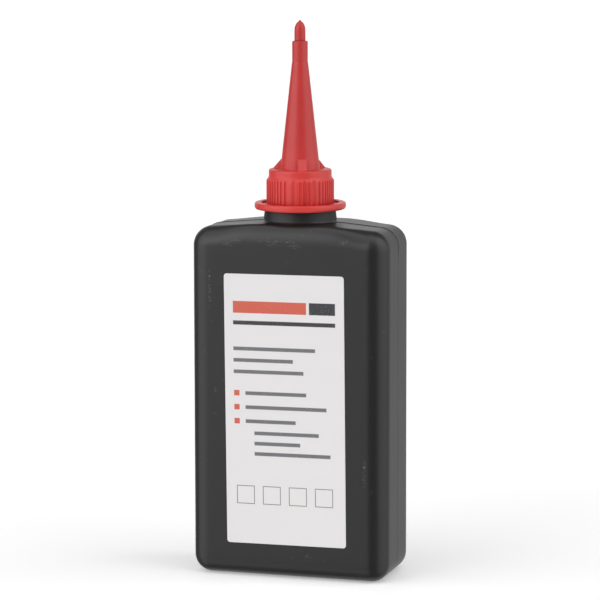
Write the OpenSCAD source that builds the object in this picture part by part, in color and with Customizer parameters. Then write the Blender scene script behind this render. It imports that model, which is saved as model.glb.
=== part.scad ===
// Graphite powder lubricant for locks, in a flat squeeze bottle with a
// screw-on spout cap. Millimetres, +Z up, the front faces -Y. The origin is
// on the standing face, under the centre of the neck.

/* [Bottle body] */
// Width of the body across the front
body_w = 54.6; // [51:0.2:59]
// Depth of the body from front to back
body_d = 25.8; // [25:0.2:30]
// Height of the shoulder where the neck rises from it
shoulder_h = 95.5; // [85:0.5:110]
// How far the shoulder falls from the neck to the body's corner
shoulder_fall = 1.1; // [0.4:0.1:2.4]
// Radius of the body's top and side edges
edge_r = 5.2; // [4.4:0.1:5.8]
// Depth of the rounding along the middle of the top front and back edges
top_edge_d = 3; // [2.6:0.1:3.6]
// Radius of the body's edges at the base
base_edge_r = 4.9; // [4:0.1:5.6]
// Thickness of the blown wall
wall_t = 1; // [0.7:0.1:1.4]
// Thickness of the base
base_t = 1.8; // [1.4:0.1:2.4]
// Depth of the hollow under the base
base_hollow_h = 0.8; // [0.4:0.1:1]
// Width of the flat rim that the bottle stands on
stand_rim_w = 2.4; // [1.6:0.1:3]

/* [Neck] */
// Radius of the neck behind its thread
neck_r = 6.9; // [6.6:0.05:7]
// Radius of the bore through the neck
bore_r = 5.9; // [5.2:0.1:6.1]
// Radius at the top of the collar below the neck
collar_r = 9.5; // [9.2:0.05:9.8]
// Height of the collar above the shoulder
collar_h = 3.7; // [3.2:0.1:5]
// How much the collar widens down to where it flares
collar_draft = 0.3; // [0.1:0.05:0.5]
// How far the collar's foot flares out over the shoulder
collar_flare = 0.9; // [0.7:0.1:1.1]
// Height of that flare
collar_flare_h = 0.9; // [0.8:0.1:1.2]
// Part of the flare that stays above the level shoulder
flare_over = 0.65; // [0.5:0.05:0.7]
// Height of the neck above its collar
neck_h = 8.3; // [7.6:0.1:9.4]
// How far the bead that traps the tamper ring stands out of the neck
bead_out = 0.6; // [0.45:0.05:0.65]
// Height of that bead
bead_h = 1.1; // [0.8:0.1:1.4]
// Bevel round the mouth of the neck
lip_bevel = 0.3; // [0.1:0.05:0.4]

/* [Powder] */
// How full the bottle is, as a share of the height to the shoulder
fill_share = 0.85; // [0.3:0.01:0.9]
// Gap between the powder's solid and the wall
powder_gap = 0.2; // [0.1:0.05:0.4]

/* [Front label] */
// Width of the label
label_w = 33.3; // [24:0.1:38]
// Height of the label
label_h = 73; // [50:0.5:78]
// Height of the label's lower edge above the base
label_z = 9.4; // [7:0.1:11]
// How far the label's centre lies off the bottle's centre line
label_shift = -0.4; // [-2:0.1:2]
// Turn of the label, which was stuck on by a machine and sits a little askew
label_turn = 0.5; // [-1:0.1:1]
// Radius of the label's corners
label_corner_r = 0.8; // [0.4:0.1:3]
// Thickness of the label
label_t = 0.12; // [0.08:0.01:0.2]

/* [Tamper ring] */
// Outer radius of the ring
ring_r = 12.25; // [11.8:0.05:13]
// Radius of the opening inside the ring's rim
ring_open_r = 10.45; // [10.2:0.05:10.8]
// Height of the ring's rim
ring_h = 1.8; // [1.5:0.1:2.2]
// How far the rim stands above the skirt's lower edge
ring_over = 0.1; // [0:0.05:0.3]
// Rounding of the rim's outer edges
ring_round_r = 0.5; // [0.2:0.05:0.7]
// Thickness of the web that rests on the collar
ring_web_t = 0.6; // [0.4:0.05:0.7]
// How far the web reaches in under the neck's bead
ring_bite = 0.3; // [0.15:0.05:0.35]
// Running gap under the web
ring_gap = 0.15; // [0.1:0.05:0.3]
// Number of bridges left on the ring
bridge_count = 4; // [2:1:8]
// Width of one bridge
bridge_w = 0.9; // [0.6:0.1:1.4]
// Depth of one bridge, from its inner to its outer side
bridge_d = 1.1; // [0.6:0.1:1.4]
// Gap between a snapped bridge and the skirt above it
bridge_gap = 0.15; // [0.1:0.05:0.3]

/* [Sealing washer] */
// Thickness of the foam washer once the cap is tight
washer_t = 0.9; // [0.6:0.1:1.2]
// Radius of the washer's hole
washer_hole_r = 4.6; // [4.2:0.1:5]
// Gap round the washer inside the skirt
washer_gap = 0.25; // [0.15:0.05:0.4]

/* [Spout cap, skirt and crown] */
// Outer radius of the ribbed skirt
skirt_r = 9.06; // [8.9:0.02:9.3]
// Radius inside the skirt, behind its thread
skirt_bore_r = 7.75; // [7.7:0.05:7.85]
// Gap between the collar and the skirt's lower edge
skirt_rise = 1.45; // [1.2:0.05:2]
// Radius of the smooth crown above the ribs
crown_r = 8.42; // [8.3:0.02:8.5]
// Height of the crown's straight side
crown_h = 2; // [1.4:0.1:2.6]
// Height of the slope from the crown out to the ribs
crown_slope_h = 1; // [0.6:0.1:1.4]
// Rounding of the crown's top edge
crown_round_r = 0.7; // [0.4:0.05:1]
// Thickness of the cap's roof
roof_t = 1.1; // [0.9:0.1:1.5]

/* [Spout cap, grip] */
// Number of times the grip's pattern repeats round the skirt
grip_repeats = 3; // [2:1:4]
// Turn of the pattern about the neck, from the front
grip_turn = 17.2; // [0:0.1:120]
// Half the width of a narrow flute
narrow_half_w = 0.35; // [0.25:0.01:0.4]
// Half the width of a middle flute
middle_half_w = 0.47; // [0.4:0.01:0.5]
// Half the width of a wide flute
wide_half_w = 0.74; // [0.6:0.01:0.8]
// Depth of a narrow flute
narrow_depth = 0.4; // [0.25:0.01:0.45]
// Depth of a middle or wide flute
wide_depth = 0.5; // [0.3:0.01:0.55]

/* [Spout cap, nozzle] */
// Radius of the cone where it meets the roof
cone_foot_r = 5.28; // [5:0.02:5.5]
// Radius at the top of the cone
cone_top_r = 2.19; // [2.15:0.01:2.4]
// Height of the cone above the roof
cone_h = 28.1; // [20:0.1:36]
// Thickness of the cone's wall at its foot
cone_wall_t = 0.95; // [0.8:0.05:1.2]
// Radius of the straight end of the nozzle
tip_r = 2.09; // [2.05:0.01:2.12]
// Length of the straight end
tip_h = 5.6; // [4:0.1:7]
// Height of the small step between the cone and the straight end
tip_step_h = 0.4; // [0.2:0.05:0.6]
// Bevel round the nozzle's mouth
mouth_bevel = 0.3; // [0.1:0.05:0.4]
// Radius of the powder's way out
outlet_r = 0.8; // [0.6:0.05:1]
// Length of the outlet behind the mouth
outlet_h = 7; // [6:0.1:8]

/* [Spout cap, fins] */
// Number of fins that brace the cone on the roof
fin_count = 3; // [2:1:4]
// Turn of the first fin about the neck, from the front
fin_turn = 22.8; // [0:0.1:120]
// Thickness of a fin
fin_w = 2.5; // [1.6:0.1:3]
// Height of a fin above the roof
fin_h = 2.9; // [2:0.1:5]
// How far a fin's foot stays inside the crown's edge
fin_inset = 0.8; // [0.7:0.05:1.2]

/* [Tip plug] */
// Radius of the plug's head
plug_r = 1.475; // [1.3:0.005:1.6]
// Height of the head's straight side
plug_side_h = 2.7; // [2:0.1:4]
// Height of the domed end of the head
plug_dome_h = 2.8; // [1.6:0.1:3.4]
// Length of the shank inside the outlet
shank_h = 5; // [3:0.1:5.5]
// Length of the shank's tapered end
shank_taper_h = 1.2; // [0.6:0.1:1.6]
// Running clearance of the shank in the outlet
shank_gap = 0.03; // [0.02:0.01:0.06]

/* [Hidden] */

// Facets of the balls that round the body, and of everything turned
ball_fn = 32;
turned_fn = 96;
// Points along a rounded or flared profile
arc_steps = 6;
dome_steps = 10;
// One overrun for every cut
cut = 1;

// A ball made of facets is drawn this much larger, so that its flats reach the true radius
ball_scale = 1 / cos(180 / ball_fn);

// Heights on the neck's axis
collar_top_z = shoulder_h + collar_h;
lip_z = collar_top_z + neck_h;
roof_under_z = lip_z + washer_t;
roof_z = roof_under_z + roof_t;
skirt_z = collar_top_z + skirt_rise;
crown_low_z = roof_z - crown_h;
rib_top_z = crown_low_z - crown_slope_h;
web_z = collar_top_z + ring_gap;
web_top_z = web_z + ring_web_t;
ring_z = skirt_z + ring_over - ring_h;
cone_top_z = roof_z + cone_h;
mouth_z = cone_top_z + tip_step_h + tip_h;

// Centres of the upright edges' rounding
side_x = body_w / 2 - edge_r;
side_y = body_d / 2 - edge_r;

// Share of the way from the centre to the corner at which the shoulder begins to fall
level_share = 0.48;

// The body's inner floor, and the height the powder reaches
floor_z = base_t;
fill_z = shoulder_h * fill_share;

// The bead sits just above the ring's web, with a sloping top that the web snapped over
bead_z = web_top_z + ring_gap;
bead_r = neck_r + bead_out;
bead_flat_share = 0.4;
web_r = bead_r - ring_bite;

// Where the flutes lie in one repeat of the grip, as shares of that repeat
narrow_shares = [0.05, 0.105, 0.16, 0.217, 0.283, 0.502, 0.627, 0.783, 0.842, 0.896, 0.946, 1];
middle_shares = [0.566];
wide_shares = [0.413, 0.7];

function mm_arc(cx, cy, r, from, to) =
    [for (i = [0 : arc_steps]) let (a = from + (to - from) * i / arc_steps)
        [cx + r * cos(a), cy + r * sin(a)]];

// Radius of the round cutter that makes a flute of a given half width and depth
function cutter_r(half_w, depth) = (half_w * half_w + depth * depth) / (2 * depth);

// Radius of the cone's outside at a height above the roof
function cone_r(h) = cone_foot_r + (cone_top_r - cone_foot_r) * h / cone_h;

// One rounded corner of the body, set in by an inset from the outer skin
module corner_ball(r, inset) {
    sphere(r = (r - inset) * ball_scale, $fn = ball_fn);
}

// The rounded corner at the foot of the body, with its floor at a given height
module foot_corner(sx, sy, inset, foot_z) {
    at_x = body_w / 2 - base_edge_r;
    at_y = body_d / 2 - base_edge_r;
    translate([sx * at_x, sy * at_y, foot_z + base_edge_r - inset]) corner_ball(base_edge_r, inset);
}

// The body as a box with round edges and a falling shoulder. Its top edge is tighter from front
// to back in the middle than at the corners. The inset makes the inside, which has its own floor.
module body_form(inset, foot_z) {
    top_z = shoulder_h - edge_r;
    top_y = body_d / 2 - top_edge_d;
    squeeze = (top_edge_d - inset) / (edge_r - inset);
    hull() for (sx = [-1, 1], sy = [-1, 1]) {
        foot_corner(sx, sy, inset, foot_z);
        translate([sx * side_x, sy * side_y, top_z - shoulder_fall]) corner_ball(edge_r, inset);
        translate([sx * side_x * level_share, sy * top_y, top_z])
            scale([1, squeeze, 1]) corner_ball(edge_r, inset);
    }
}

// A flat plate with round corners, centred, standing on zero
module round_plate(w, h, r, t) {
    linear_extrude(height = t) union() {
        square([w - 2 * r, h], center = true);
        square([w, h - 2 * r], center = true);
        for (sx = [-1, 1], sy = [-1, 1])
            translate([sx * (w / 2 - r), sy * (h / 2 - r)]) circle(r = r, $fn = turned_fn);
    }
}

// Collar, trapping bead and neck, turned about the axis, with the collar's foot flared
// down onto the shoulder
module neck_form() {
    flare_r = collar_r + collar_draft;
    root_z = shoulder_h - edge_r / 2;
    rotate_extrude($fn = turned_fn) polygon(concat(
        [[0, root_z], [flare_r + collar_flare, root_z]],
        [for (i = [0 : arc_steps]) let (a = 90 * i / arc_steps)
            [flare_r + collar_flare * (1 - sin(a)), shoulder_h + flare_over - collar_flare_h * cos(a)]],
        [[collar_r, collar_top_z], [neck_r, collar_top_z], [neck_r, bead_z], [bead_r, bead_z],
         [bead_r, bead_z + bead_h * bead_flat_share], [neck_r, bead_z + bead_h],
         [neck_r, lip_z - lip_bevel], [neck_r - lip_bevel, lip_z], [0, lip_z]]));
}

module bottle_shell() {
    hollow_w = body_w - 2 * base_edge_r - 2 * stand_rim_w;
    hollow_d = body_d - 2 * base_edge_r - 2 * stand_rim_w;
    bore_z = shoulder_h - edge_r;
    color("#2a2a2c") difference() {
        union() {
            body_form(0, 0);
            neck_form();
        }
        body_form(wall_t, floor_z);
        translate([0, 0, bore_z]) cylinder(r = bore_r, h = lip_z - bore_z + cut, $fn = turned_fn);
        translate([0, 0, -cut]) round_plate(hollow_w, hollow_d, stand_rim_w, base_hollow_h + cut);
    }
}

// The powder lies loose in the body, up to its own level
module graphite_powder() {
    inset = wall_t + powder_gap;
    top_h = edge_r;
    color("#45474b") hull() for (sx = [-1, 1], sy = [-1, 1]) {
        foot_corner(sx, sy, inset, floor_z + powder_gap);
        translate([sx * side_x, sy * side_y, fill_z - top_h])
            cylinder(r = (edge_r - inset) * ball_scale, h = top_h, $fn = ball_fn);
    }
}

module front_label() {
    color("#f2f3f5")
        translate([label_shift, -body_d / 2, label_z + label_h / 2])
            rotate([90, 0, 0]) rotate([0, 0, label_turn])
                round_plate(label_w, label_h, label_corner_r, label_t);
}

// A broad rim with a thin web inside it. The web rests on the collar, under the neck's bead,
// and carries what is left of the bridges to the cap.
module tamper_ring() {
    rim_z = ring_z;
    color("#cf3a30") union() {
        rotate_extrude($fn = turned_fn) polygon(concat(
            [[web_r, web_z], [ring_open_r, web_z], [ring_open_r, rim_z]],
            mm_arc(ring_r - ring_round_r, rim_z + ring_round_r, ring_round_r, -90, 0),
            mm_arc(ring_r - ring_round_r, rim_z + ring_h - ring_round_r, ring_round_r, 0, 90),
            [[ring_open_r, rim_z + ring_h], [ring_open_r, web_top_z], [web_r, web_top_z]]));
        bridge_foot_z = web_z + ring_web_t / 2;
        for (i = [0 : bridge_count - 1]) rotate([0, 0, grip_turn + 360 * i / bridge_count])
            translate([skirt_r - bridge_d / 2, -bridge_w / 2, bridge_foot_z])
                cube([bridge_d, bridge_w, skirt_z - bridge_gap - bridge_foot_z]);
    }
}

module sealing_washer() {
    color("#e9e7e0") difference() {
        translate([0, 0, lip_z]) cylinder(r = skirt_bore_r - washer_gap, h = washer_t, $fn = turned_fn);
        translate([0, 0, lip_z - cut]) cylinder(r = washer_hole_r, h = washer_t + 2 * cut, $fn = turned_fn);
    }
}

// A round cutter set at the skirt's edge. It goes straight up the skirt and out through the slope,
// which it meets in a pointed arch. Its floor stays outside the crown.
module flute_cutter(half_w, depth) {
    floor_depth = min(depth, skirt_r - crown_r);
    r = cutter_r(half_w, floor_depth);
    translate([skirt_r - floor_depth + r, 0, skirt_z - cut])
        cylinder(r = r, h = crown_low_z - skirt_z + cut, $fn = turned_fn);
}

// One row of flutes, repeated round the skirt
module flutes(shares, half_w, depth) {
    for (i = [0 : grip_repeats - 1], s = shares)
        rotate([0, 0, grip_turn - 90 + 360 / grip_repeats * (i - 0.5 + s)]) flute_cutter(half_w, depth);
}

// A fin that braces the cone: a slab under a straight slope from the cone to the crown's edge
module fin() {
    bite = cone_wall_t / 2;
    foot_r = crown_r - fin_inset;
    rotate([90, 0, 0]) translate([0, 0, -fin_w / 2]) linear_extrude(height = fin_w)
        polygon([[cone_foot_r - bite, roof_z - roof_t / 2], [foot_r, roof_z - roof_t / 2], [foot_r, roof_z],
                 [cone_r(fin_h), roof_z + fin_h], [cone_r(fin_h) - bite, roof_z + fin_h]]);
}

// The cap's outside without flutes or fins: skirt, crown, cone and nozzle in one turn
module cap_form() {
    rotate_extrude($fn = turned_fn) polygon(concat(
        [[0, skirt_z], [skirt_r, skirt_z], [skirt_r, rib_top_z], [crown_r, crown_low_z]],
        mm_arc(crown_r - crown_round_r, roof_z - crown_round_r, crown_round_r, 0, 90),
        [[cone_foot_r, roof_z], [cone_top_r, cone_top_z], [tip_r, cone_top_z + tip_step_h],
         [tip_r, mouth_z - mouth_bevel], [tip_r - mouth_bevel, mouth_z], [0, mouth_z]]));
}

// The way through the cap: the skirt's bore, the hollow cone and the outlet
module cap_hollow() {
    passage_r = cone_foot_r - cone_wall_t;
    throat_z = mouth_z - outlet_h;
    throat_r = (outlet_r + tip_r) / 2;
    rotate_extrude($fn = turned_fn) polygon([
        [0, skirt_z - cut], [skirt_bore_r, skirt_z - cut], [skirt_bore_r, roof_under_z],
        [passage_r, roof_under_z], [passage_r, roof_z], [throat_r, throat_z - throat_r],
        [outlet_r, throat_z], [outlet_r, mouth_z + cut], [0, mouth_z + cut]]);
}

module spout_cap() {
    color("#c8332b") difference() {
        union() {
            difference() {
                cap_form();
                flutes(narrow_shares, narrow_half_w, narrow_depth);
                flutes(middle_shares, middle_half_w, wide_depth);
                flutes(wide_shares, wide_half_w, wide_depth);
            }
            for (i = [0 : fin_count - 1]) rotate([0, 0, fin_turn - 90 + 360 * i / fin_count]) fin();
        }
        cap_hollow();
    }
}

// The head stands on the nozzle's mouth, and the shank fills the outlet
module tip_plug() {
    shank_r = outlet_r - shank_gap;
    side_top_z = mouth_z + plug_side_h;
    color("#c8332b") rotate_extrude($fn = turned_fn) polygon(concat(
        [[0, mouth_z - shank_h], [shank_r / 2, mouth_z - shank_h],
         [shank_r, mouth_z - shank_h + shank_taper_h], [shank_r, mouth_z], [plug_r, mouth_z]],
        [for (i = [0 : dome_steps]) let (a = 90 * i / dome_steps)
            [plug_r * cos(a), side_top_z + plug_dome_h * sin(a)]]));
}

bottle_shell();
graphite_powder();
front_label();
tamper_ring();
sealing_washer();
spout_cap();
tip_plug();
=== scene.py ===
"""Looks of a flat squeeze bottle of graphite powder for locks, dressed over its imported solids."""
import math

import bpy
import numpy as np
from mathutils import Matrix, Vector


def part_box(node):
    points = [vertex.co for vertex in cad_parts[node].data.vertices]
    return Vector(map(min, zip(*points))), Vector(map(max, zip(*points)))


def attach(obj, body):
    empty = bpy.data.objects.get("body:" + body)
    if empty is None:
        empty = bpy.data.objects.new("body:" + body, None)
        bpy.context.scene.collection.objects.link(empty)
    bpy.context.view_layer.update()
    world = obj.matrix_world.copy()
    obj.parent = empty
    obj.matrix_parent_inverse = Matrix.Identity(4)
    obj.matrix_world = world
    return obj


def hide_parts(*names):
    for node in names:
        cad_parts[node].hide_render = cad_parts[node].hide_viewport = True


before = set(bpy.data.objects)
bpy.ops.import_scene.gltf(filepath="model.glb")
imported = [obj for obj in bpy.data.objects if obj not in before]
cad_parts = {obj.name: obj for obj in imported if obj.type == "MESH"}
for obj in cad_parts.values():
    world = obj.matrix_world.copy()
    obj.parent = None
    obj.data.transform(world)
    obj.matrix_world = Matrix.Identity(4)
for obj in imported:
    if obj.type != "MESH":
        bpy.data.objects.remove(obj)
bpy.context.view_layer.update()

# The bottle is one blow-moulded shell of black polyethylene, with its shoulder, collar and threaded
# neck. It was blown in a mould of two halves, which left a fine line round the sides and shoulder
# and a pinched weld under the base.
MM = 0.001
shell_low, shell_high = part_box("bottle_shell")
body_w = shell_high.x - shell_low.x
body_d = shell_high.y - shell_low.y
lip_z = shell_high.z
shoulder_h = 95.5 * MM
shoulder_fall = 1.1 * MM
level_share = 0.48
ease_share = 0.16
edge_r = 5.2 * MM
top_edge_d = 3.0 * MM
edge_blend = 9.5 * MM
foot_r = 4.9 * MM
wall_t = 1.0 * MM
floor_z = 1.8 * MM
core_w = body_w / 2 - edge_r
core_d = body_d / 2 - edge_r


def smooth(t):
    """Smooth step: three t squared less two t cubed, with t held between 0 and 1."""
    t = np.clip(t, 0, 1)
    return t * t * (3 - 2 * t)


def outline(front_n, arc_n, side_n):
    """Columns round a rounded rectangle, anticlockwise from above and from the front left corner.
    Each has its shares of the core's half width and half depth, and the angle of its outward normal.
    Columns on the short sides crowd to the middle, as the square of their share."""
    front = np.linspace(-1, 1, front_n)
    side = np.linspace(-1, 1, side_n)
    side = np.sign(side) * side * side
    arc = np.linspace(0, 90, arc_n)[1:-1]
    one_f, one_s, one_a = np.ones(front_n), np.ones(side_n), np.ones(arc_n - 2)
    share_x = [front, one_a, one_s, one_a, -front, -one_a, -one_s, -one_a]
    share_y = [-one_f, -one_a, side, one_a, one_f, one_a, -side, -one_a]
    angle = [-90 * one_f, arc - 90, 0 * one_s, arc, 90 * one_f, arc + 90, 180 * one_s, arc + 180]
    return np.concatenate(share_x), np.concatenate(share_y), np.radians(np.concatenate(angle))


share_x, share_y, normal_a = outline(61, 19, 41)
normal_x, normal_y = np.cos(normal_a), np.sin(normal_a)


def ring(half_w, half_d, corner, z):
    """One row of points: the core rectangle, which is smaller than the row by the corner's radius,
    plus that radius along each column's normal."""
    x = share_x * (half_w - corner) + corner * normal_x
    y = share_y * (half_d - corner) + corner * normal_y
    return np.stack([x, y, z + 0 * x], -1)


def crown_of(x):
    """Height of the shoulder over the body's width: level in the middle, then falling to the
    corners, with the bend eased as (t + sqrt(t t + e e))."""
    t = (np.abs(x) / core_w - level_share) / (1 - level_share)
    fall = (t + np.sqrt(t * t + ease_share**2)) / (1 + math.sqrt(1 + ease_share**2))
    return shoulder_h - shoulder_fall * fall


def edge_depth(x):
    """Depth of the top edge's rounding from front to back: tight along the middle, and easing out to
    the full radius over the last stretch before each corner."""
    return edge_r - (edge_r - top_edge_d) * smooth((core_w - np.abs(x)) / edge_blend)


def shoulder(x, y, inset):
    """Height of the skin over a point of the shoulder: an ellipsoid of the edge's radius and depth,
    less the inset, that rolls under the crown's height."""
    r, depth = edge_r - inset, edge_depth(x)
    off_x = np.maximum(np.abs(x) - core_w, 0) / r
    off_y = np.maximum(np.abs(y) - body_d / 2 + depth, 0) / (depth - inset)
    rise = np.sqrt(np.maximum(1 - off_x**2 - off_y**2, 0))
    return crown_of(np.clip(x, -core_w, core_w)) - edge_r + r * rise


least_corner = 0.5 * MM
flat_from = math.radians(40)


def skin_rows(inset, foot_z, hole_r, wall_n, top_n):
    """Rows of the body's skin from its foot to a round hole in the shoulder: a quarter round at the
    foot, the wall, the start of the top rounding, and then a fan of straight lines in plan
    from there to the hole, laid on the shoulder's height."""
    r = foot_r - inset
    rows = []
    for a in np.linspace(-math.pi / 2, 0, 13):
        out = r * math.cos(a)
        half_w, half_d = body_w / 2 - foot_r + out, body_d / 2 - foot_r + out
        rows.append(ring(half_w, half_d, max(out, least_corner), foot_z + r * (1 + math.sin(a))))
    top_z = crown_of(share_x * core_w) - edge_r
    for t in np.linspace(0, 1, wall_n)[1:]:
        corner = r + (edge_r - foot_r) * t
        height = foot_z + r + (top_z - foot_z - r) * t
        rows.append(ring(body_w / 2 - inset, body_d / 2 - inset, corner, height))
    r = edge_r - inset
    on_front = np.abs(normal_y) > 0.999
    for a in np.linspace(0, flat_from, 9)[1:]:
        out = r * math.cos(a)
        row = ring(core_w + out, core_d + out, out, top_z + r * math.sin(a))
        narrower = edge_r - edge_depth(row[:, 0])
        row[:, 1] += np.sign(row[:, 1]) * on_front * narrower * (1 - math.cos(a))
        rows.append(row)
    start = rows[-1][:, :2]
    end = hole_r[:, None] * np.stack([np.cos(fan_a), np.sin(fan_a)], -1)
    for t in np.linspace(0, 1, top_n)[1:]:
        plan = start + (end - start) * t
        rows.append(np.concatenate([plan, shoulder(plan[:, 0], plan[:, 1], inset)[:, None]], 1))
    return rows


# Each column's angle round the neck's axis on the body, and as many even angles for the neck
rim = ring(body_w / 2, body_d / 2, edge_r, 0)
fan_a = np.unwrap(np.arctan2(rim[:, 1], rim[:, 0]))
even_a = fan_a[0] + np.arange(len(fan_a)) * 2 * math.pi / len(fan_a)

line_side, line_top, line_w = 0.04 * MM, 0.13 * MM, 0.14 * MM


def parting_line(y, z):
    """How far the mould's parting line stands out of the skin: a bell curve across the middle, lower
    on the sides than over the shoulder."""
    over = smooth((z - shoulder_h + 2 * edge_r) / edge_r)
    return (line_side + (line_top - line_side) * over) * np.exp(-((y / line_w) ** 2))


hollow_h, hollow_slope, stand_rim_w = 0.8 * MM, 0.9 * MM, 2.4 * MM
weld_out, weld_w, weld_half = 0.45 * MM, 0.4 * MM, 15 * MM


def base_rows():
    """Rows of the underside from its middle out: the hollow with the pinched weld across it, then
    its slope down to the rim that the bottle stands on."""
    half_w = body_w / 2 - foot_r - stand_rim_w
    half_d = body_d / 2 - foot_r - stand_rim_w
    rows = []
    for t in np.linspace(0, 1, 15)[1:] ** 1.5:
        in_w, in_d = (half_w - hollow_slope) * t, (half_d - hollow_slope) * t
        row = ring(in_w, in_d, stand_rim_w * t / 2, hollow_h)
        run = smooth((weld_half - np.abs(row[:, 0])) / weld_w)
        row[:, 2] -= weld_out * np.exp(-((row[:, 1] / weld_w) ** 2)) * run
        rows.append(row)
    for t in np.linspace(0, 1, 7)[1:]:
        reach = hollow_slope * (1 - t)
        corner = stand_rim_w * (1 + t) / 2
        rows.append(ring(half_w - reach, half_d - reach, corner, hollow_h * (1 - smooth(t))))
    return rows


collar_r, collar_draft, collar_h = 9.5 * MM, 0.3 * MM, 3.7 * MM
collar_top = shoulder_h + collar_h
neck_r, bore_r, neck_soft = 6.9 * MM, 5.9 * MM, 0.12 * MM
bead_low, bead_h, bead_out = collar_top + 0.9 * MM, 1.1 * MM, 0.6 * MM
bead_flat = bead_h * 0.4
collar_end_drop, neck_start_drop = 0.3 * MM, 0.2 * MM
flare_side, flare_front = 0.45 * MM, 1.05 * MM
flare_h_side, flare_h_front = 0.5 * MM, 1.15 * MM


def profile(corners, steps=4):
    """Outline of a turned piece as rows of radius and height. Each corner is its radius, its height,
    how far its rounding reaches, and the longest step to the next corner. A rounding is the
    quadratic curve (1-t)(1-t) a + 2t(1-t) corner + t t b."""
    at = np.array([c[:2] for c in corners])
    rows = []
    for i, (_, _, reach, gap) in enumerate(corners):
        to_last = at[max(i - 1, 0)] - at[i]
        to_next = at[min(i + 1, len(at) - 1)] - at[i]
        a = at[i] + to_last / max(np.hypot(*to_last), 1e-9) * reach
        b = at[i] + to_next / max(np.hypot(*to_next), 1e-9) * reach
        if rows:
            n = max(1, round(float(np.hypot(*(a - rows[-1]))) / step_gap))
            rows += [rows[-1] + (a - rows[-1]) * k / n for k in range(1, n)]
        bend = np.linspace(0, 1, steps + 1) if reach > 0 else np.zeros(1)
        rows += [(1 - t) ** 2 * a + 2 * t * (1 - t) * at[i] + t * t * b for t in bend]
        step_gap = gap
    return np.array(rows)


def turned(rows, angles):
    """A profile turned about the neck's axis: each row of radius and height becomes a ring."""
    r = rows[:, 0, None] * np.ones(len(angles))
    z = rows[:, 1, None] * np.ones(len(angles))
    return np.stack([r * np.cos(angles), r * np.sin(angles), z], -1)


pitch = 3.0 * MM
thread_half_w, flank_share = 0.62 * MM, 0.62
neck_thread_z, neck_thread_turns, neck_thread_out = bead_low + 2.3 * MM, 1.35, 0.62 * MM


def thread(angle, z, first_z, turns, out):
    """How far a right-hand thread stands out at an angle and a height. Its middle line climbs one pitch
    a turn from first_z, its flanks slope from half its width to a flat crest, and both
    ends fade over a sixth of a turn."""
    angle = np.mod(angle, 2 * math.pi)
    out_here = np.zeros(np.broadcast(angle, z).shape)
    for lap in range(math.ceil(turns) + 1):
        total = angle + 2 * math.pi * lap
        away = np.abs(z - first_z - pitch * total / (2 * math.pi))
        fade = smooth(total) * smooth(turns * 2 * math.pi - total)
        height = smooth((thread_half_w - away) / (thread_half_w * flank_share))
        out_here = np.maximum(out_here, height * fade)
    return out * out_here


def skin(name, grid, loop=False):
    """Mesh of a grid of points whose columns run right round: each cell is a quad. With loop the last
    row joins the first, and without it the first and last rows close on their middles."""
    rows, cols = grid.shape[:2]
    r = np.arange(rows if loop else rows - 1)[:, None]
    c = np.arange(cols)[None]
    here, above, right = r * cols, (r + 1) % rows * cols, (c + 1) % cols
    quads = np.stack([here + c, here + right, above + right, above + c], -1).reshape(-1, 4)
    points, faces = grid.reshape(-1, 3), quads.tolist()
    if not loop:
        points = np.vstack([points, grid[0].mean(0), grid[-1].mean(0)])
        c, last, n = c[0], (rows - 1) * cols, rows * cols
        faces += np.stack([(c + 1) % cols, c, c * 0 + n], 1).tolist()
        faces += np.stack([last + c, last + (c + 1) % cols, c * 0 + n + 1], 1).tolist()
    mesh = bpy.data.meshes.new(name)
    mesh.from_pydata(points, [], faces)
    mesh.polygons.foreach_set("use_smooth", np.ones(len(faces), bool))
    mesh.update()
    made = bpy.data.objects.new(name, mesh)
    bpy.context.scene.collection.objects.link(made)
    return made


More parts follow.
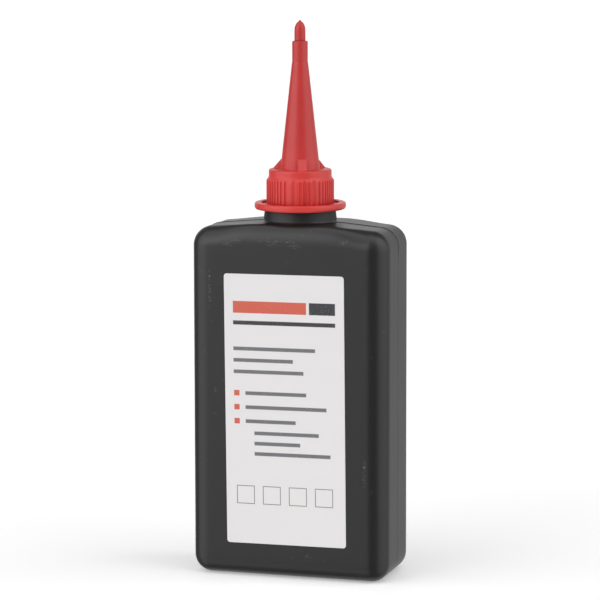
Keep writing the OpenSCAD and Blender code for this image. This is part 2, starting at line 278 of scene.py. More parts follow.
def shell_grid():
    """The whole shell in one grid: underside, skin, flared collar, neck with its bead and thread, lip,
    bore, and the inner skin down to the floor's middle."""
    side = np.sin(fan_a) ** 2
    flare_w = flare_side + (flare_front - flare_side) * side
    flare_h = flare_h_side + (flare_h_front - flare_h_side) * side
    flare_r = collar_r + collar_draft
    rows = base_rows() + skin_rows(0, 0, flare_r + flare_w, 34, 27)
    outside = np.array(rows)
    core_z = np.minimum(outside[..., 2], crown_of(outside[..., 0]) - edge_r)
    core_x = np.clip(outside[..., 0], -core_w, core_w)
    core_y = np.clip(outside[..., 1], -core_d, core_d)
    core = np.stack([core_x, core_y, np.maximum(core_z, foot_r)], -1)
    out = outside - core
    out /= np.linalg.norm(out, axis=-1, keepdims=True)
    line = parting_line(outside[..., 1], outside[..., 2])
    outside += out * (line * (outside[..., 2] > foot_r / 2))[..., None]
    a = np.linspace(0, math.pi / 2, 9)[1:, None]
    r = flare_r + flare_w * (1 - np.sin(a))
    x, y = r * np.cos(fan_a), r * np.sin(fan_a)
    flare = np.stack([x, y, shoulder(x, y, 0) + flare_h * (1 - np.cos(a))], -1)
    foot_z = flare[-1, :, 2]
    up = np.linspace(0, 1, 8)[1:, None]
    r = (flare_r - collar_draft * up) + 0 * fan_a
    side_z = foot_z + (collar_top - collar_end_drop - foot_z) * up
    collar = np.stack([r * np.cos(fan_a), r * np.sin(fan_a), side_z], -1)
    foot = np.concatenate([flare, collar])
    foot[..., :2] *= 1 + parting_line(foot[..., 1:2], foot[..., 2:]) / collar_r
    neck = profile([
        (collar_r, collar_top - neck_start_drop, 0, 0.1 * MM),
        (collar_r, collar_top, 0.18 * MM, 0.8 * MM),
        (neck_r, collar_top, neck_soft, 0.4 * MM), (neck_r, bead_low, 0.08 * MM, 0.3 * MM),
        (neck_r + bead_out, bead_low, neck_soft, 0.3 * MM),
        (neck_r + bead_out, bead_low + bead_flat, neck_soft, 0.3 * MM),
        (neck_r, bead_low + bead_h, neck_soft, 0.12 * MM), (neck_r, lip_z, 0.32 * MM, 0.4 * MM),
        (bore_r, lip_z, 0.15 * MM, 1.2 * MM), (bore_r, shoulder_h + wall_t, 0, 1.0 * MM)])
    row_n = np.arange(len(neck))[:, None]
    turn = smooth((row_n - 4) / 8) * smooth((len(neck) - 1 - row_n) / 8)
    angle = fan_a + (even_a - fan_a) * turn
    neck_x, neck_y = neck[:, :1] * np.cos(angle), neck[:, :1] * np.sin(angle)
    tube = np.stack([neck_x, neck_y, neck[:, 1:] + 0 * angle], -1)
    outer = row_n < np.argmax(neck[:, 1] > lip_z - 1e-6)
    proud = thread(angle, neck[:, 1:], neck_thread_z, neck_thread_turns, neck_thread_out) * outer
    tube[..., :2] *= 1 + (proud / neck[:, :1])[..., None]
    inner = np.array(skin_rows(wall_t, floor_z, bore_r + 0 * fan_a, 12, 14))[::-1]
    return np.concatenate([outside, foot, tube, inner])


bottle = skin("bottle", shell_grid())
bottle.data.set_sharp_from_angle(angle=math.radians(50))


class Wire:
    """One socket of a material. Sums on it add Math nodes, and add() makes any other node."""

    def __init__(self, tree, socket=None):
        self.tree, self.socket = tree, socket

    def add(self, kind, sockets, out=0, stops=(), **settings):
        """A new node of a kind, with its settings made first and then the values or links of its
        sockets. It gives the wire of one of its outputs."""
        node = self.tree.nodes.new(kind)
        for name, value in settings.items():
            setattr(node, name, value)
        for k, (at, colour) in enumerate(stops):
            stop = node.color_ramp.elements[k] if k < 2 else node.color_ramp.elements.new(at)
            stop.position, stop.color = at, colour
        for key, value in dict(sockets).items():
            if isinstance(value, Wire):
                self.tree.links.new(value.socket, node.inputs[key])
            else:
                node.inputs[key].default_value = value
        return Wire(self.tree, node.outputs[out] if len(node.outputs) else None)

    def math(self, operation, *terms):
        return self.add("ShaderNodeMath", enumerate(terms), operation=operation)

    def __add__(self, other):
        return self.math("ADD", self, other)

    def __sub__(self, other):
        return self.math("SUBTRACT", self, other)

    def __rsub__(self, other):
        return self.math("SUBTRACT", other, self)

    def __mul__(self, other):
        return self.math("MULTIPLY", self, other)

    def __abs__(self):
        return self.math("ABSOLUTE", self)

    __radd__, __rmul__ = __add__, __mul__

    def least(self, other):
        return self.math("MINIMUM", self, other)

    def most(self, other):
        return self.math("MAXIMUM", self, other)

    def step(self, low, high):
        """Smooth step of this value from low, where it is 0, to high, where it is 1."""
        return self.add("ShaderNodeMapRange", {0: self, 1: low, 2: high}, interpolation_type="SMOOTHSTEP")

    def noise(self, scale, detail=2.0, rough=0.5):
        sockets = {"Vector": self, "Scale": scale, "Detail": detail, "Roughness": rough}
        return self.add("ShaderNodeTexNoise", sockets)

    def stretched(self, scale, turn=(0, 0, 0), move=(0, 0, 0)):
        """This place turned, moved and then scaled along each axis."""
        sockets = {"Vector": self, "Scale": scale, "Rotation": turn, "Location": move}
        return self.add("ShaderNodeMapping", sockets)

    def tint(self, low, high):
        """The colour that goes from low to high as this value goes from 0 to 1."""
        return self.add("ShaderNodeMix", {0: self, 6: low, 7: high}, out=2, data_type="RGBA")

    def bump(self, height, distance, strength=1.0):
        sockets = {"Height": height, "Distance": distance, "Strength": strength}
        return self.add("ShaderNodeBump", {**sockets, "Normal": self} if self.socket else sockets)


def paint(piece, name, surface):
    """A material for a piece. surface takes the material's first wire and its place in the piece's
    own coordinates, and gives the sockets of its Principled shader."""
    made = bpy.data.materials.new(name)
    made.use_nodes = True
    made.node_tree.nodes.clear()
    start = Wire(made.node_tree)
    place = start.add("ShaderNodeTexCoord", {}, out="Object")
    shader = start.add("ShaderNodeBsdfPrincipled", surface(start, place))
    start.add("ShaderNodeOutputMaterial", {"Surface": shader})
    piece.data.materials.clear()
    piece.data.materials.append(made)


# Each scuff's middle across and up, its half width and half height, in mm, and its slope
scuff_sites = [
    (-15.2, 90.5, 3.0, 1.1, 0.25), (-4.6, 91.1, 4.6, 1.4, -0.12), (1.6, 90.5, 3.4, 1.2, -0.2),
    (15.6, 91.6, 1.6, 0.8, 0.2), (-21.4, 78.0, 0.5, 7.0, 0.05), (21.6, 30.0, 0.6, 5.0, 0.1)]
bare_black, scuffed_black = (0.0132, 0.0132, 0.0137, 1), (0.16, 0.158, 0.155, 1)
scuff_from_y, scuff_full_y = -11.5 * MM, -12.6 * MM
dull_from_z, dull_full_z = shoulder_h + 0.2 * MM, shoulder_h + 0.9 * MM


def black_polyethylene(start, place):
    """Satin black plastic, duller on the collar and neck: a fine grain, a slow swell left by blowing, a
    few whitish scuffs on the upper front and on the edges, and dust in the grain."""
    x, y, z = [place.add("ShaderNodeSeparateXYZ", {0: place}, out=k) for k in range(3)]
    swell = place.noise(38.0, 2.0)
    grain = place.noise(1900.0, 3.0, 0.6)
    pores = place.noise(520.0, 3.0, 0.65)
    hairs = place.stretched((900, 900, 7000), turn=(0, 0.35, 0)).noise(1.0, 4.0, 0.75).step(0.54, 0.68)
    scuffs = start.math("ADD", 0.0, 0.0)
    for site_x, site_z, half_w, half_h, slope in scuff_sites:
        from_x, from_z = x - site_x * MM, z - site_z * MM
        across = abs(from_x) * (1 / (half_w * MM))
        along = abs(from_z - from_x * slope) * (1 / (half_h * MM))
        scuffs = scuffs.most((across * across + along * along).step(1.0, 0.25))
    scuffs = scuffs * hairs * y.step(scuff_from_y, scuff_full_y)
    dust = pores.step(0.62, 0.78) * swell.step(0.4, 0.65)
    colour = (dust * 0.2 + scuffs * 1.1).least(1.0).tint(bare_black, scuffed_black)
    on_neck = z.step(dull_from_z, dull_full_z)
    rough = 0.3 + swell * 0.05 + grain * 0.06 + dust * 0.08 + scuffs * 0.2 + on_neck * 0.14
    soft = start.bump(swell, 0.25 * MM, 0.5)
    return {"Base Color": colour, "Roughness": rough, "IOR": 1.54,
            "Normal": soft.bump(grain + pores * 0.6 + scuffs * 2.0, 0.012 * MM, 0.6)}


paint(bottle, "black polyethylene", black_polyethylene)
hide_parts("bottle_shell")
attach(bottle, "bottle")

# The filling is fine graphite powder, loose in the body. It lies with a low heap under the neck,
# where it was poured in, and with small slumps where it settled.
powder_low, powder_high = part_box("graphite_powder")
powder_gap = 0.2 * MM
heap_h, heap_r = 1.5 * MM, 9 * MM
top_drop, top_clear, wave_h = 1.2 * MM, 3 * MM, 0.22 * MM
powder_dark, powder_light = (0.02, 0.021, 0.023, 1), (0.075, 0.077, 0.083, 1)


def powder_grid():
    """The body's inner skin, a gap smaller, up to the fill height, and closed by a top whose height is
    a bell-shaped heap plus three crossed waves."""
    inset = wall_t + powder_gap
    rows = skin_rows(inset, powder_low.z, bore_r + 0 * fan_a, 40, 4)
    rows = [row for row in rows if row[:, 2].max() < powder_high.z - top_clear]
    half_w, half_d = body_w / 2 - inset, body_d / 2 - inset
    for t in np.linspace(1, 0, 30)[:-1]:
        row = ring(half_w * t, half_d * t, (edge_r - inset) * t, 0)
        x, y = row[:, 0] / MM, row[:, 1] / MM
        waves = np.sin(0.31 * x + 0.9) + np.sin(0.52 * y - 0.23 * x) + 0.5 * np.sin(0.9 * x + 1.1 * y)
        heap = heap_h * np.exp(-(row[:, 0] ** 2 + row[:, 1] ** 2) / heap_r**2)
        row[:, 2] = powder_high.z - top_drop + heap + wave_h * waves
        rows.append(row)
    return np.array(rows)


powder = skin("powder", powder_grid())


def graphite(start, place):
    """Dark grey powder with a dull metal glint: crumbs of two sizes and fine sparkle."""
    crumbs = place.noise(900.0, 6.0, 0.7)
    clods = place.noise(260.0, 3.0, 0.6)
    glint = place.noise(5200.0, 1.0).step(0.6, 0.75)
    return {"Base Color": crumbs.tint(powder_dark, powder_light),
            "Roughness": 0.72 - glint * 0.3, "Metallic": 0.25 + glint * 0.4,
            "Normal": start.bump(crumbs + clods * 2.0, 0.25 * MM, 0.8)}


paint(powder, "graphite powder", graphite)
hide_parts("graphite_powder")
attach(powder, "bottle")

# The label is a thin white film, printed and stuck on the front by a machine, a little askew. Its print
# is plain: a coral band with a grey one, grey rules with small markers, and a row of outlined squares.
label_low, label_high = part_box("front_label")
label_w, label_h, label_t = 33.3 * MM, 73 * MM, 0.12 * MM
label_corner, label_turn = 0.8 * MM, math.radians(0.5)
label_x, label_z = (label_low.x + label_high.x) / 2, (label_low.z + label_high.z) / 2


def label_grid():
    """A rounded rectangle drawn as rows from the middle of its back to its edge and back to the middle
    of its face, laid upright on the bottle's front and turned a little."""
    flat_n = 12
    rows = [(t, 0.0) for t in np.linspace(0, 1, flat_n)[1:]] + [(1.0, 0.7), (0.9985, 1.0)]
    rows += [(t, 1.0) for t in np.linspace(0.997, 0, flat_n)[:-1]]
    grid = np.array([ring(label_w / 2 * share, label_h / 2 * share, label_corner * share, label_t * rise)
                     for share, rise in rows])
    x, z, out = grid[..., 0], grid[..., 1], grid[..., 2]
    turned_x = x * math.cos(label_turn) - z * math.sin(label_turn)
    turned_z = x * math.sin(label_turn) + z * math.cos(label_turn)
    return np.stack([label_x + turned_x, label_high.y - out, label_z + turned_z], -1)


label = skin("label", label_grid())
label.data.set_sharp_from_angle(angle=math.radians(30))

# The print's places are in mm from the label's middle. Each rule has its start, its end and its height.
coral, ink, grey_ink = (0.62, 0.115, 0.075, 1), (0.045, 0.046, 0.05, 1), (0.16, 0.165, 0.175, 1)
film_low, film_high = (0.735, 0.72, 0.72, 1), (0.765, 0.75, 0.75, 1)
band_mid_z, band_half_h = 27.6, 1.6
coral_mid_x, coral_half_w = -4.0, 10.2
ink_mid_x, ink_half_w = 10.6, 3.6
underline_drop, underline_half_w, underline_half_h = 4.2, 14.2, 0.55
rule_rows = [
    (-14.2, 8.6, 16.4), (-14.2, 2.4, 13.3), (-14.2, 5.3, 10.2),
    (-11.0, 6.0, 4.4), (-11.0, 11.6, 0.6), (-11.0, 3.0, -3.2), (-8.6, 9.4, -6.4), (-8.6, 4.2, -9.2),
    (-8.6, 12.6, -12.0)]
rule_half_h = 0.5
marker_rows, marker_x, marker_half = [4.4, 0.6, -3.2], -13.4, 0.75
square_xs, square_z, square_half, square_line = [-11.2, -3.9, 3.4, 10.7], -23.2, 2.5, 0.2


def printed_film(start, place):
    """White film with generic print, drawn on the label's own flat axes: boxes with slightly soft
    edges for bands, rules and markers, and the space between two boxes for outlines."""
    flat = place.stretched((1000, 1000, 1000), move=(-label_x * 1000, 0, -label_z * 1000))
    level = flat.stretched((1, 1, 1), turn=(0, label_turn, 0))
    x, z = [level.add("ShaderNodeSeparateXYZ", {0: level}, out=k) for k in (0, 2)]
    soft = 0.07

    def box(mid_x, mid_z, half_w, half_h):
        far = (abs(x - mid_x) - half_w).most(abs(z - mid_z) - half_h)
        return far.step(soft, -soft)

    red = box(coral_mid_x, band_mid_z, coral_half_w, band_half_h)
    for row_z in marker_rows:
        red = red.most(box(marker_x, row_z, marker_half, marker_half))
    underline = box(0, band_mid_z - underline_drop, underline_half_w, underline_half_h)
    dark = box(ink_mid_x, band_mid_z, ink_half_w, band_half_h).most(underline)
    grey = start.math("ADD", 0.0, 0.0)
    for from_x, to_x, row_z in rule_rows:
        grey = grey.most(box((from_x + to_x) / 2, row_z, (to_x - from_x) / 2, rule_half_h))
    for mid_x in square_xs:
        inner_half = square_half - square_line
        inside = box(mid_x, square_z, inner_half, inner_half)
        grey = grey.most(box(mid_x, square_z, square_half, square_half) - inside)
    film = place.noise(70.0, 2.0).tint(film_low, film_high)
    worn = 1 - place.noise(3000.0, 2.0).step(0.63, 0.72) * 0.35
    colour = (red * worn).tint(film, coral)
    colour = (grey * worn).tint(colour, grey_ink)
    colour = (dark * worn).tint(colour, ink)
    rough = 0.42 + place.noise(900.0, 2.0) * 0.1 - dark * 0.06
    relief = place.noise(45.0, 2.0) * 4.0 + place.noise(1400.0, 2.0) * 0.2
    return {"Base Color": colour, "Roughness": rough, "IOR": 1.46,
            "Normal": start.bump(relief, 0.05 * MM, 0.5)}


paint(label, "printed film", printed_film)
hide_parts("front_label")
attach(label, "bottle")

# The tamper ring is red plastic, moulded with the cap and left on the collar by the first opening. Its
# thin web sits under the neck's bead and carries what is left of the four snapped bridges.
ring_low, ring_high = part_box("tamper_ring")
ring_r, ring_open_r = ring_high.x, 10.45 * MM
web_low, web_t, web_r = collar_top + 0.15 * MM, 0.6 * MM, 7.2 * MM
cap_low, cap_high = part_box("spout_cap")
bridge_turn = math.radians(17.2)
bridge_w, bridge_in, bridge_out = 0.9 * MM, 8.51 * MM, 9.61 * MM
bridge_gap = 0.17 * MM
rim_low_round, rim_top_round = 0.75 * MM, 0.55 * MM
# The rim and the cap's skirt end a little lower than in the solids, as in the photograph
rim_drop, skirt_drop = 0.15 * MM, 0.22 * MM
skirt_z = cap_low.z - skirt_drop


def ring_grid():
    """A closed profile of rim and web, turned about the neck. Each bridge is a post, where the web's top
    rises by a smooth step across the bridge's width and its depth."""
    rim_low, rim_top = ring_low.z - rim_drop, ring_high.z - rim_drop
    web_top = web_low + web_t
    rows = profile([
        (web_r, web_low, 0.1 * MM, 0.6 * MM), (ring_open_r, web_low, 0.08 * MM, 0.3 * MM),
        (ring_open_r, rim_low, 0.12 * MM, 0.4 * MM), (ring_r, rim_low, rim_low_round, 0.4 * MM),
        (ring_r, rim_top, rim_top_round, 0.4 * MM), (ring_open_r, rim_top, 0.1 * MM, 0.3 * MM),
        (ring_open_r, web_top, 0.1 * MM, 0.1 * MM), (web_r, web_top, 0.1 * MM, 0.3 * MM)])
    angles = np.linspace(0, 2 * math.pi, 480, endpoint=False)
    grid = turned(rows, angles)
    r, z = rows[:, 0, None], rows[:, 1, None]
    across = np.abs(np.mod(angles - bridge_turn + math.pi / 4, math.pi / 2) - math.pi / 4) * r
    soft = 0.1 * MM
    post = smooth((bridge_w / 2 - across) / soft + 0.5)
    post = post * smooth((r - bridge_in) / soft + 0.5) * smooth((bridge_out - r) / soft + 0.5)
    on_top = np.abs(z - web_top) < 0.02 * MM
    grid[..., 2] += np.where(on_top, post * (skirt_z - bridge_gap - web_top), 0)
    return grid


tamper_ring = skin("ring", ring_grid(), loop=True)
tamper_ring.data.set_sharp_from_angle(angle=math.radians(50))

red_low, red_high = (0.46, 0.027, 0.026, 1), (0.53, 0.036, 0.032, 1)
# The second, lighter pair of reds is painted light, a lit copy of the same red. The crown, skirt and ring
# take it below a set height. It stands in for light let through the plastic and lifts the shade of the
# flutes and the ring.
painted_lit_red_low, painted_lit_red_high = (0.63, 0.038, 0.034, 1), (0.71, 0.052, 0.044, 1)
painted_light_from_z, painted_light_full_z = 118 * MM, 104.5 * MM


def red_plastic(start, place):
    """Satin red plastic, a shade deeper in slow clouds, with a fine moulded grain and short hair
    scratches that run round it. Below a set height the colour is painted lighter, as painted light:
    it stands in for light let through the plastic and lifts the shade of the flutes and the ring,
    so the crown, skirt and ring are lighter than the cone."""
    clouds = place.noise(120.0, 2.0)
    grain = place.noise(2600.0, 3.0, 0.6)
    hairs = place.stretched((300, 300, 6000)).noise(1.0, 3.0, 0.7).step(0.62, 0.74)
    height = place.add("ShaderNodeSeparateXYZ", {0: place}, out=2)
    base_red, painted_lit_red = clouds.tint(red_low, red_high), clouds.tint(painted_lit_red_low, painted_lit_red_high)
    # Painted light: the base colour turns to the lighter red below the set height.
    return {"Base Color": height.step(painted_light_from_z, painted_light_full_z).tint(base_red, painted_lit_red),
            "Roughness": 0.3 + grain * 0.08 + hairs * 0.08, "IOR": 1.49,
            "Normal": start.bump(grain + hairs * 0.6 + clouds * 3.0, 0.012 * MM, 0.6)}


paint(tamper_ring, "red plastic", red_plastic)
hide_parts("tamper_ring")
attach(tamper_ring, "tamper_ring")

# The sealing washer is a disc of white foamed plastic, punched from sheet and pressed between the neck's
# lip and the roof of the cap.
washer_low, washer_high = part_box("sealing_washer")
washer_r, washer_hole_r, washer_bulge = washer_high.x, 4.6 * MM, 0.12 * MM
foam_aged, foam_clean = (0.78, 0.76, 0.70, 1), (0.84, 0.83, 0.80, 1)


def washer_grid():
    """A closed profile turned about the neck, with its outer edge bulging a little where it is squeezed."""
    low, top, bulge = washer_low.z, washer_high.z, washer_bulge
    mid = (low + top) / 2
    rows = profile([
        (washer_hole_r, low, 0.05 * MM, 0.6 * MM), (washer_r - bulge, low, bulge, 0.3 * MM),
        (washer_r, mid, 0.2 * MM, 0.3 * MM), (washer_r - bulge, top, bulge, 0.6 * MM),
        (washer_hole_r, top, 0.05 * MM, 0.3 * MM), (washer_hole_r - bulge / 2, mid, 0.1 * MM, 0.3 * MM)])
    return turned(rows, np.linspace(0, 2 * math.pi, 160, endpoint=False))


washer = skin("washer", washer_grid(), loop=True)


def foamed_plastic(start, place):
    """Off-white foam sheet: small closed cells and a faint yellowing in patches."""
    cells = place.add("ShaderNodeTexVoronoi", {"Vector": place, "Scale": 3200.0})
    shade = place.noise(150.0, 2.0).tint(foam_aged, foam_clean)
    return {"Base Color": shade, "Roughness": 0.7 + cells * 0.2,
            "Normal": start.bump(cells, 0.06 * MM, 0.7)}


paint(washer, "foamed plastic", foamed_plastic)
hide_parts("sealing_washer")
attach(washer, "sealing_washer")

# The spout cap is one red injection moulding: a skirt gripped by flutes of three widths, a plain crown,
# three fins that brace a hollow cone, and the straight end of the nozzle. A thread runs inside the skirt.
mouth_z = cap_high.z
cap_thread_z, cap_thread_turns, cap_thread_out = bead_low + 0.9 * MM, 2.0, 0.66 * MM
thread_roof_gap, thread_end_gap, thread_fade_h = 0.8 * MM, 0.7 * MM, 0.4 * MM
skirt_r, skirt_bore_r, crown_r = 9.06 * MM, 7.75 * MM, 8.42 * MM
roof_z, roof_t = 109.5 * MM, 1.1 * MM
crown_h, crown_slope_h, crown_round = 2 * MM, 1 * MM, 0.6 * MM
cone_foot_r, cone_top_r, cone_h = 5.28 * MM, 2.19 * MM, 28.1 * MM
tip_r, tip_step_h = 2.09 * MM, 0.4 * MM
outlet_r, outlet_h, cone_wall = 0.8 * MM, 7 * MM, 0.95 * MM
crown_low, rib_top = roof_z - crown_h, roof_z - crown_h - crown_slope_h
grip_repeats, grip_turn = 3, math.radians(17.2 - 90)
# Flutes of three widths: their places as shares of a third of a turn, half their width, and their depth
flute_rows = [
    ([0.05, 0.105, 0.16, 0.217, 0.283, 0.502, 0.627, 0.783, 0.842, 0.896, 0.946, 1], 0.33 * MM, 0.34 * MM),
    ([0.566], 0.47 * MM, 0.5 * MM), ([0.413, 0.7], 0.74 * MM, 0.5 * MM)]
flutes = [(grip_turn + 2 * math.pi / grip_repeats * (repeat - 0.5 + share), half_w, depth)
          for shares, half_w, depth in flute_rows for share in shares for repeat in range(grip_repeats)]
fin_count, fin_turn = 3, math.radians(22.8 - 90)
fin_w, fin_h, fin_inset, fin_edge = 2.5 * MM, 2.9 * MM, 0.8 * MM, 0.16 * MM
fin_end_share = 0.13


def cap_columns():
    """Angles of the cap's columns: even ones, closer ones at the two sides of each fin, and across each
    flute a row that is closest at its two edges."""
    across = np.array([-1.25, -1.04, -0.97, -0.82, -0.45, 0, 0.45, 0.82, 0.97, 1.04, 1.25])
    parts = [np.radians(np.arange(0, 360, 3.0))]
    parts += [middle + across * half_w / skirt_r for middle, half_w, depth in flutes]
    beside = np.arange(8.0, 16.7, 0.6)
    over_fin = np.radians(np.concatenate([-beside, [-5, 0, 5], beside]))
    parts += [fin_turn + 2 * math.pi * k / fin_count + over_fin for k in range(fin_count)]
    angles = np.sort(np.mod(np.concatenate(parts), 2 * math.pi))
    return angles[np.diff(angles, prepend=-1) > 0.001]


def fluted(r, angles):
    """Radius of the skirt once each flute's round cutter has passed straight along it. The edge between
    skirt and flute is eased by a smooth minimum."""
    ease = 0.04 * MM
    for middle, half_w, depth in flutes:
        cutter = (half_w**2 + depth**2) / (2 * depth)
        centre = skirt_r - depth + cutter
        away = np.mod(angles - middle + math.pi, 2 * math.pi) - math.pi
        inside = cutter**2 - (centre * np.sin(away)) ** 2
        cut_r = centre * np.cos(away) - np.sqrt(np.maximum(inside, 0))
        near = np.clip(0.5 + (cut_r - r) / (2 * ease), 0, 1)
        eased = cut_r * (1 - near) + r * near - ease * near * (1 - near)
        r = np.where((inside > 0) & (np.cos(away) > 0), eased, r)
    return r


def cap_grid():
    """A closed profile, out round the skirt, up the cone, down the outlet and back along the bore, turned
    about the neck. Flutes cut into the skirt's rows, a smooth mask lifts the rows of the
    roof to each fin's slope, and the thread stands into the bore."""
    angles = cap_columns()
    throat_r, throat_z = (outlet_r + tip_r) / 2, mouth_z - outlet_h
    outer = profile([
        (skirt_bore_r, skirt_z, 0.15 * MM, 0.6 * MM), (skirt_r, skirt_z, 0.1 * MM, 1.2 * MM),
        (skirt_r, rib_top, 0.1 * MM, 0.1 * MM), (crown_r, crown_low, 0.15 * MM, 0.5 * MM),
        (crown_r, roof_z, crown_round, 0.25 * MM), (cone_foot_r, roof_z, 0.3 * MM, 0.28 * MM),
        (cone_foot_r + (cone_top_r - cone_foot_r) * fin_end_share, roof_z + cone_h * fin_end_share,
         0, 3 * MM),
        (cone_top_r, roof_z + cone_h, 0.3 * MM, 0.4 * MM),
        (tip_r, roof_z + cone_h + tip_step_h, 0.2 * MM, 2 * MM),
        (tip_r, mouth_z, 0.32 * MM, 0.5 * MM), (outlet_r, mouth_z, 0.1 * MM, 3 * MM)])
    inner = profile([
        (outlet_r, throat_z, 0, 0.8 * MM), (throat_r, throat_z - throat_r, 0, 6 * MM),
        (cone_foot_r - cone_wall, roof_z, 0, 0.6 * MM),
        (cone_foot_r - cone_wall, roof_z - roof_t, 0.2 * MM, 1.2 * MM),
        (skirt_bore_r, roof_z - roof_t, 0.25 * MM, 0.28 * MM),
        (skirt_bore_r, skirt_z + 0.2 * MM, 0, 0.5 * MM)])
    rows = np.concatenate([outer, inner])
    r, z = rows[:, :1] + 0 * angles, rows[:, 1:] + 0 * angles
    is_outer = (np.arange(len(rows)) < len(outer))[:, None]
    on_skirt = is_outer & (rows[:, 1:] < crown_low + 0.3 * MM)
    r = np.where(on_skirt, fluted(r, angles), r)
    foot_at = int(np.argmin(np.hypot(outer[:, 0] - crown_r + fin_inset, outer[:, 1] - roof_z)))
    on_cone = outer[:, 0] < cone_foot_r
    head_at = int(np.argmin(np.abs(outer[:, 1] - roof_z - fin_h) + 1.0 * ~on_cone))
    share = np.clip((np.arange(len(rows)) - foot_at) / (head_at - foot_at), 0, 1)[:, None]
    slope_r = outer[foot_at, 0] + (outer[head_at, 0] - outer[foot_at, 0]) * share
    slope_z = outer[foot_at, 1] + (outer[head_at, 1] - outer[foot_at, 1]) * share
    for k in range(fin_count):
        away = angles - fin_turn - 2 * math.pi * k / fin_count
        across = np.where(np.cos(away) > 0, np.abs(slope_r * np.sin(away)), 1.0)
        mask = smooth((fin_w / 2 - across) / fin_edge + 0.5) * ((share > 0) & (share < 1))
        r, z = r + (slope_r - r) * mask, z + (slope_z - z) * mask
    bore = ~is_outer & (rows[:, :1] > skirt_bore_r - 0.01 * MM) & (rows[:, 1:] < roof_z - roof_t - 0.3 * MM)
    proud = thread(angles, z, cap_thread_z, cap_thread_turns, cap_thread_out)
    proud *= smooth((roof_z - roof_t - thread_roof_gap - z) / thread_fade_h)
    proud *= smooth((z - skirt_z - thread_end_gap) / thread_fade_h)
    r = r - np.where(bore, proud, 0)
    return np.stack([r * np.cos(angles), r * np.sin(angles), z], -1)


cap = skin("cap", cap_grid(), loop=True)
cap.data.set_sharp_from_angle(angle=math.radians(60))
paint(cap, "red plastic cap", red_plastic)
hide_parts("spout_cap")
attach(cap, "spout_cap")

# The tip plug closes the nozzle: a domed head with a faint moulded line and a small gate mark on its end,
# over a shank that is pushed into the outlet.
plug_low, plug_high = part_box("tip_plug")
plug_r, plug_side_h = plug_high.x, 2.7 * MM
shank_r, shank_taper_h = 0.77 * MM, 1.2 * MM
nib_r, nib_h = 0.32 * MM, 0.25 * MM
plug_seat_gap = 0.02 * MM
plug_line_out, plug_line_w, plug_line_up = 0.05 * MM, 0.12 * MM, 0.9 * MM


def plug_grid():
    """Shank, head and dome in one profile, turned about the neck. The dome is a quarter of an ellipse
    that ends in the gate mark."""
    seat_z = mouth_z + plug_seat_gap
    under = profile([
        (shank_r / 2, plug_low.z, 0.1 * MM, 0.3 * MM),
        (shank_r, plug_low.z + shank_taper_h, 0.1 * MM, 1 * MM),
        (shank_r, seat_z, 0.05 * MM, 0.4 * MM), (plug_r, seat_z, 0.12 * MM, 0.3 * MM),
        (plug_r, mouth_z + plug_side_h, 0, 0.3 * MM)])
    a = np.linspace(0, 1, 20)[1:] * math.acos(nib_r / plug_r)
    top = plug_high.z - nib_h
    dome_z = mouth_z + plug_side_h + (top - mouth_z - plug_side_h) * np.sin(a)
    dome = np.stack([plug_r * np.cos(a), dome_z], -1)
    from_line = dome_z - mouth_z - plug_side_h - plug_line_up
    dome[:, 0] += plug_line_out * np.exp(-((from_line / plug_line_w) ** 2))
    end = dome[-1, 1]
    nib = profile([(nib_r, end, 0, 0.1 * MM), (nib_r * 0.9, plug_high.z, 0.08 * MM, 0.1 * MM),
                   (nib_r * 0.2, plug_high.z, 0, 0.1 * MM)])
    rows = np.concatenate([under, dome, nib[1:]])
    return turned(rows, np.linspace(0, 2 * math.pi, 96, endpoint=False))


plug = skin("plug", plug_grid())
plug.data.set_sharp_from_angle(angle=math.radians(60))
paint(plug, "red plastic plug", red_plastic)
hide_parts("tip_plug")
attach(plug, "tip_plug")

# The room is a pale floor, lit from under like a light table, in soft studio light: a large soft box on
# either side, one overhead, a bright backdrop, and a dark gap in front. Gloss sees the room without
# the floor, so the lower half of the room stands in for it.
floor_half = 6.0
pale_low, pale_high = (0.84, 0.84, 0.84, 1), (0.86, 0.86, 0.86, 1)
floor_mesh = bpy.data.meshes.new("floor")
floor_mesh.from_pydata([(-floor_half, -floor_half, 0), (floor_half, -floor_half, 0),
                        (floor_half, floor_half, 0), (-floor_half, floor_half, 0)], [], [(0, 1, 2, 3)])
floor = bpy.data.objects.new("floor", floor_mesh)
bpy.context.scene.collection.objects.link(floor)
paint(floor, "pale floor", lambda start, place: {
    "Base Color": place.noise(3.0).tint(pale_low, pale_high),
    "Roughness": 0.6, "Specular IOR Level": 0.2, "Emission Color": (1, 1, 1, 1), "Emission Strength": 0.3})
floor.visible_glossy = False

tent = bpy.data.worlds.new("tent")
tent.use_nodes = True
tent.node_tree.nodes.clear()
bpy.context.scene.world = tent
sky = Wire(tent.node_tree)
toward = sky.add("ShaderNodeTexCoord", {}, out="Generated")
sky_x, sky_y, sky_z = [toward.add("ShaderNodeSeparateXYZ", {0: toward}, out=k) for k in range(3)]
sky_turn = sky_x.math("ARCTAN2", sky_x, sky_y * -1) * (180 / math.pi)
sky_rise = sky_z.math("ARCSINE", sky_z) * (180 / math.pi)
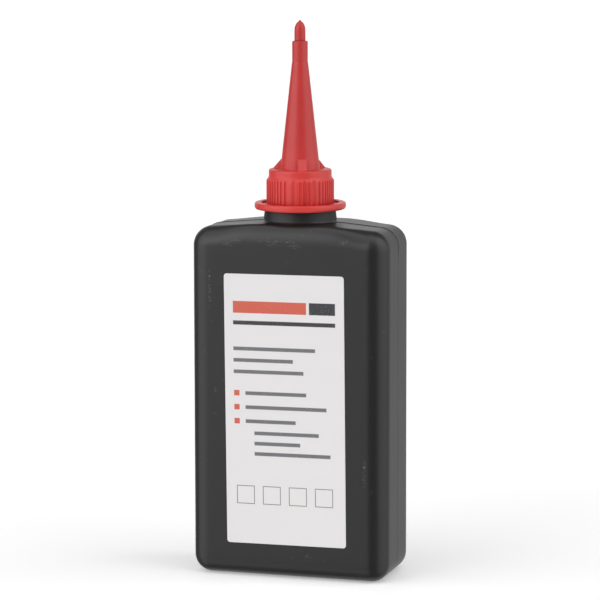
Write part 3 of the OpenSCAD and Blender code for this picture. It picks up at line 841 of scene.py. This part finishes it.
# Each light's window is from one turn to another, right of the front, and from one rise to another
# above the floor, all in degrees, with how soft its sides are and how bright it is. Its foot and its
# head each fade over a set rise, to either side of where they are.
tent_base, foot_fade, head_fade = 0.16, 8, 12
lights = [(-82, -15, -6, 54, 10, 1.5), (-82, -15, -60, -6, 8, 0.8), (-42, 0, 12, 36, 12, 1.0),
          (54, 123, -4, 62, 24, 1.2), (54, 121, -50, -4, 24, 0.65), (60, 120, 32, 60, 20, 0.5),
          (-110, 120, 57, 82, 16, 1.1), (-14, 60, 32, 55, 12, 0.3)]
glow = sky.math("ADD", tent_base, 0.0)
for left, right_end, low, high, soft, strength in lights:
    window = sky_turn.step(left - soft / 2, left + soft / 2)
    window = window * sky_turn.step(right_end + soft / 2, right_end - soft / 2)
    window = window * sky_rise.step(low - foot_fade, low + foot_fade)
    window = window * sky_rise.step(high + head_fade, high - head_fade)
    glow = glow + window * strength
# The backdrop stands behind the bottle. It is a little brighter well below the horizon, and much
# brighter above it on the left.
behind = 180 - abs(sky_turn)
on_left = sky_x.step(0.1, -0.1)
level = sky_rise.step(-7, -14) * 0.07 + 0.39 + sky_rise.step(-8, 2) * (on_left * 0.32 + 0.03)
backdrop = behind.step(62, 34) * sky_rise.step(34, 20) * level
zenith = sky_rise.step(74, 86) * 1.2
glow = glow + backdrop + zenith
# Where the camera sees the room itself, it is plain white
seen = sky.add("ShaderNodeLightPath", {}, out="Is Camera Ray")
glow = glow + seen * (1 - glow)
light = sky.add("ShaderNodeBackground", {"Color": (1, 1, 1, 1), "Strength": glow})
sky.add("ShaderNodeOutputWorld", {"Surface": light})

# The camera stands where the photograph's did, as its fit to the outline gives: its turn to the right of
# the front, its rise and its roll, then how far off it stands, its lens and the point that it looks at.
view_a, view_e, view_roll = math.radians(17.191), math.radians(7.953), math.radians(-0.108)
view_far, view_lens = 805.976 * MM, 179.68
view_aim, aim_shift = Vector((0, 0, 74.012 * MM)), -0.12 * MM
sensor_w, nearest, farthest = 36, 0.01, 30
back = Vector((math.sin(view_a) * math.cos(view_e), -math.cos(view_a) * math.cos(view_e), math.sin(view_e)))
right = Vector((math.cos(view_a), math.sin(view_a), 0))
up = back.cross(right)
view_aim += right * aim_shift
turned_right = right * math.cos(view_roll) + up * math.sin(view_roll)
turned_up = up * math.cos(view_roll) - right * math.sin(view_roll)
camera = bpy.data.objects.new("camera", bpy.data.cameras.new("camera"))
camera.data.lens, camera.data.sensor_width = view_lens, sensor_w
camera.data.clip_start, camera.data.clip_end = nearest, farthest
bpy.context.scene.collection.objects.link(camera)
camera.matrix_world = (Matrix.Translation(view_aim + back * view_far)
                       @ Matrix((turned_right, turned_up, back)).transposed().to_4x4())
bpy.context.scene.camera = camera
bpy.context.scene.view_settings.view_transform = "Standard"
